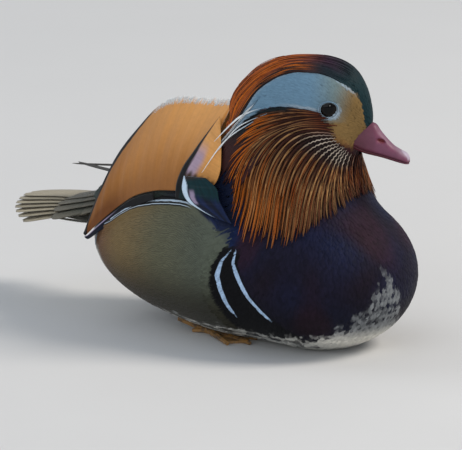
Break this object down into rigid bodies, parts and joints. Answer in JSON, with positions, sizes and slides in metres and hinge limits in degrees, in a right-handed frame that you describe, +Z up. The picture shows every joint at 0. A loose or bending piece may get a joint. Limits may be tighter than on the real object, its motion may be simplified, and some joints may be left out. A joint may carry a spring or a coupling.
{
  "type": "mandarin duck",
  "caption": "Still life-size model of a drake mandarin duck resting on its belly, head turned to its left, with its orange sail feathers raised and its feet tucked under.",
  "frame": {"origin": "bottom centre of the bounding box, on the floor that the belly rests on", "axes": "+X towards the breast, +Y towards the bird's left, +Z up; the tail points along -X"},
  "size_m": [0.2564, 0.1126, 0.1587],
  "materials": {
    "body_plumage": "soft close feathers: olive gold flanks, purple black breast, white belly",
    "whisker_plumage": "long narrow rust orange feathers with pale shafts",
    "head_plumage": "fine smooth feathers: pale band, gold cheek, green and copper crown",
    "bill": "satin rose red horn with a paler nail",
    "eye": "wet gloss, almost black",
    "wing_feathers": "close vanes, navy and olive brown with pale blue patches",
    "sail_feathers": "broad orange vane with a dark edge and a pale fringe",
    "tail_feathers": "close grey brown vanes",
    "foot": "dull ochre scaled skin with dark webs"
  },
  "bodies": {
    "root": {"torso": "body_plumage", "neck": "whisker_plumage", "head": "head_plumage", "bill_upper": "bill", "bill_lower": "bill", "tail": "tail_feathers", "eye_left": "eye", "eye_right": "eye", "wing_left": "wing_feathers", "wing_right": "wing_feathers", "sail_left": "sail_feathers", "sail_right": "sail_feathers", "foot_left": "foot", "foot_right": "foot"}
  },
  "joints": []
}
